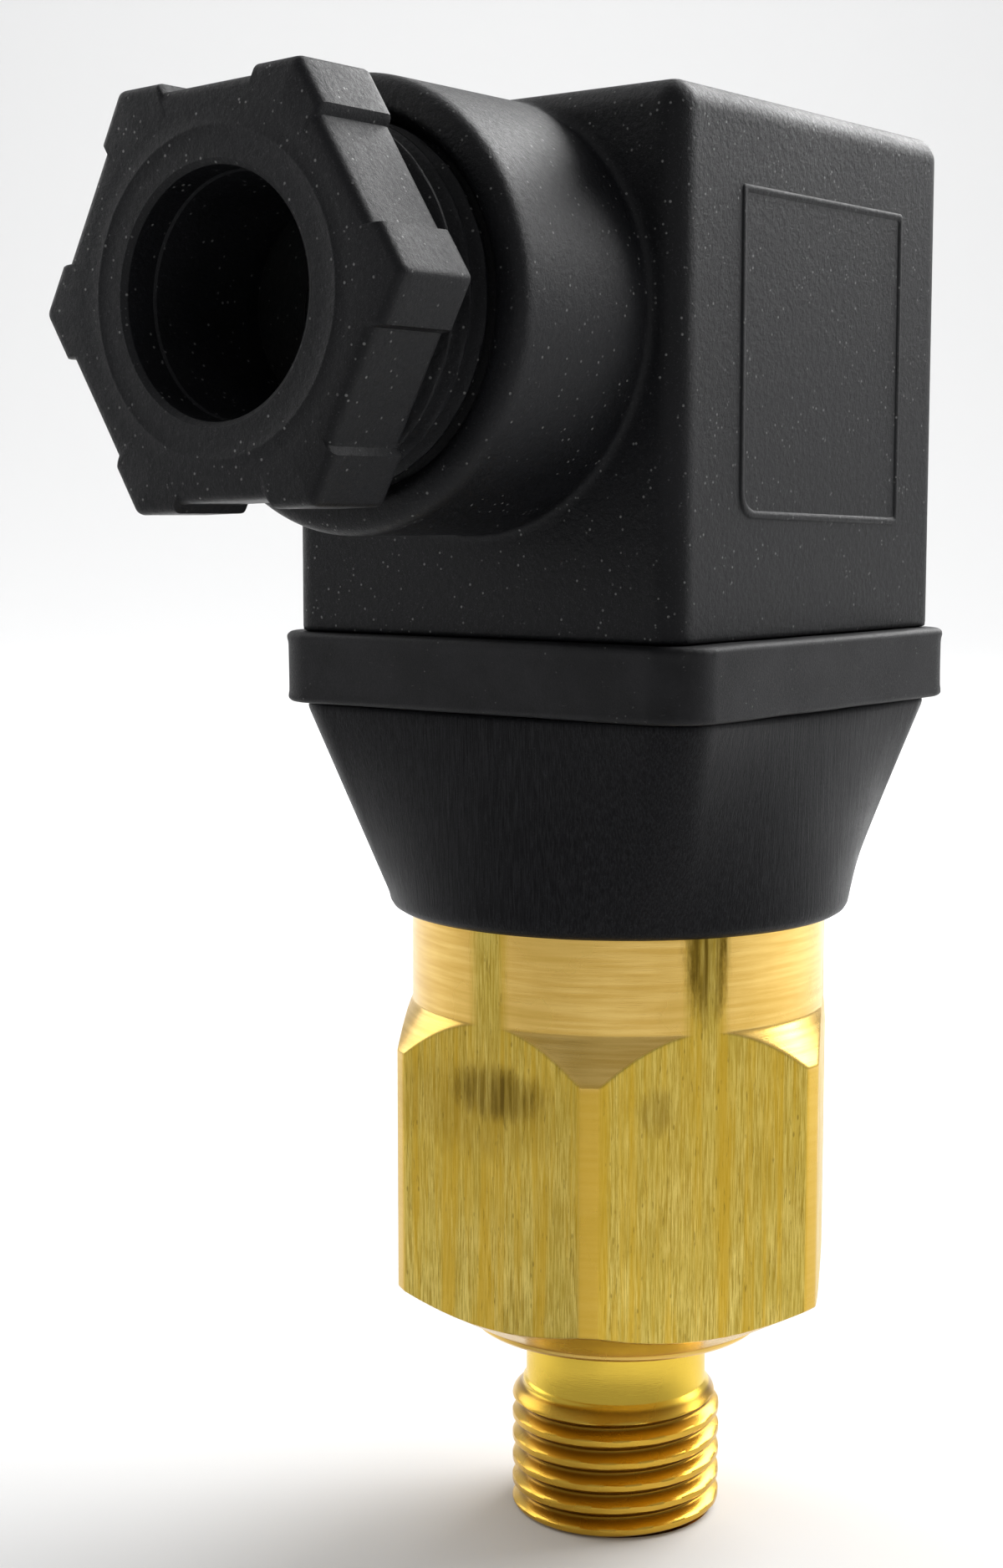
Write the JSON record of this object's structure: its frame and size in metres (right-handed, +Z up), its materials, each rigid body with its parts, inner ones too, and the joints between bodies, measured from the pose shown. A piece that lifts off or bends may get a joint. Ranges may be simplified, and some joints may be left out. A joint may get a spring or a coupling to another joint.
{
  "type": "pressure switch",
  "caption": "Mechanical pressure switch: brass hexagon body with male stud, black tapered base, profile gasket and angled cable plug with a gland nut.",
  "frame": {"origin": "on the stud's axis, in the plane of the sealing rim under the hexagon", "axes": "+Z up the switch from the stud to the plug, the cable gland points along -Y, +X across the plug"},
  "size_m": [0.0324, 0.0534, 0.0906],
  "materials": {
    "brass": "drawn and turned, lightly tarnished",
    "inner_brass": "machined",
    "steel": "zinc plated",
    "spring_steel": "drawn wire",
    "tinned_brass": "tinned, bright",
    "black_nylon": "moulded, fine satin grain",
    "turned_plastic": "machined, satin",
    "black_rubber": "moulded, dusty",
    "diaphragm_rubber": "smooth",
    "phenolic": "moulded",
    "contact_copper": "rolled spring strip"
  },
  "bodies": {
    "switch_body": {"process_body": "brass", "diaphragm": "diaphragm_rubber", "piston_guide": "steel", "range_spring": "spring_steel", "neck_seal": "black_rubber", "retaining_clip": "spring_steel", "connector_base": "turned_plastic", "screw_bush": "inner_brass", "profile_gasket": "black_rubber", "contact_blade_1": "tinned_brass", "contact_blade_2": "tinned_brass", "contact_blade_3": "tinned_brass", "contact_blade_earth": "tinned_brass", "switch_case": "phenolic", "switch_lid": "phenolic", "common_terminal": "inner_brass", "open_contact": "inner_brass", "closed_contact": "inner_brass"},
    "piston": {"pressure_piston": "steel", "spring_plate": "steel", "push_rod": "steel"},
    "plunger": {"switch_plunger": "black_nylon"},
    "contact_arm": {"snap_blade": "contact_copper"},
    "upper_seat": {"spring_seat": "steel"},
    "adjuster": {"adjusting_screw": "inner_brass"},
    "plug": {"plug_housing": "black_nylon", "terminal_insert": "black_nylon", "socket_1": "tinned_brass", "socket_2": "tinned_brass", "socket_3": "tinned_brass", "socket_earth": "tinned_brass", "clamp_screw_1": "steel", "clamp_screw_2": "steel", "clamp_screw_3": "steel", "clamp_screw_earth": "steel", "cable_grommet": "black_rubber"},
    "washer": {"screw_washer": "steel"},
    "plug_screw": {"fixing_screw": "steel"},
    "gland_washer": {"pressure_washer": "steel"},
    "gland": {"gland_nut": "black_nylon"}
  },
  "joints": [
    {"name": "piston_stroke", "type": "slide", "parent": "switch_body", "child": "piston", "axis": [0, 0, 1], "range_m": [0, 0.0005], "stiffness_N_per_m": 3000, "springref_m": -0.001, "deforming": ["range_spring"]},
    {"name": "plunger_stroke", "type": "slide", "parent": "switch_body", "child": "plunger", "axis": [0, 0, 1], "range_m": [0, 0.0005]},
    {"name": "contact_snap", "type": "hinge", "parent": "switch_body", "child": "contact_arm", "pos_m": [-0.0051, 0, 0.0344], "axis": [0, -1, 0], "range_deg": [0, 6]},
    {"name": "seat_travel", "type": "slide", "parent": "switch_body", "child": "upper_seat", "axis": [0, 0, 1], "range_m": [-0.0012, 0.0008]},
    {"name": "adjuster_turn", "type": "hinge", "parent": "upper_seat", "child": "adjuster", "pos_m": [0, 0, 0.028], "axis": [0, 0, 1], "range_deg": [-433, 289]},
    {"name": "plug_pull", "type": "slide", "parent": "switch_body", "child": "plug", "axis": [0, 0, 1], "range_m": [0, 0.016]},
    {"name": "screw_travel", "type": "slide", "parent": "plug", "child": "washer", "axis": [0, 0, 1], "range_m": [0, 0.004]},
    {"name": "screw_turn", "type": "hinge", "parent": "washer", "child": "plug_screw", "pos_m": [0, 0, 0.0752], "axis": [0, 0, 1], "range_deg": [0, 2881]},
    {"name": "gland_travel", "type": "slide", "parent": "plug", "child": "gland_washer", "axis": [0, -1, 0], "range_m": [-0.0011, 0.005]},
    {"name": "gland_turn", "type": "hinge", "parent": "gland_washer", "child": "gland", "pos_m": [0, -0.03, 0.0649], "axis": [0, -1, 0], "range_deg": [-282, 1277]}
  ],
  "couplings": [
    {"joint": "plunger_stroke", "follows": "piston_stroke", "ratio": 1},
    {"joint": "contact_snap", "follows": "piston_stroke", "rad_per_m": 209},
    {"joint": "adjuster_turn", "follows": "seat_travel", "rad_per_m": 6283.2},
    {"joint": "screw_turn", "follows": "screw_travel", "rad_per_m": 12566},
    {"joint": "gland_turn", "follows": "gland_travel", "rad_per_m": 4456.2}
  ]
}
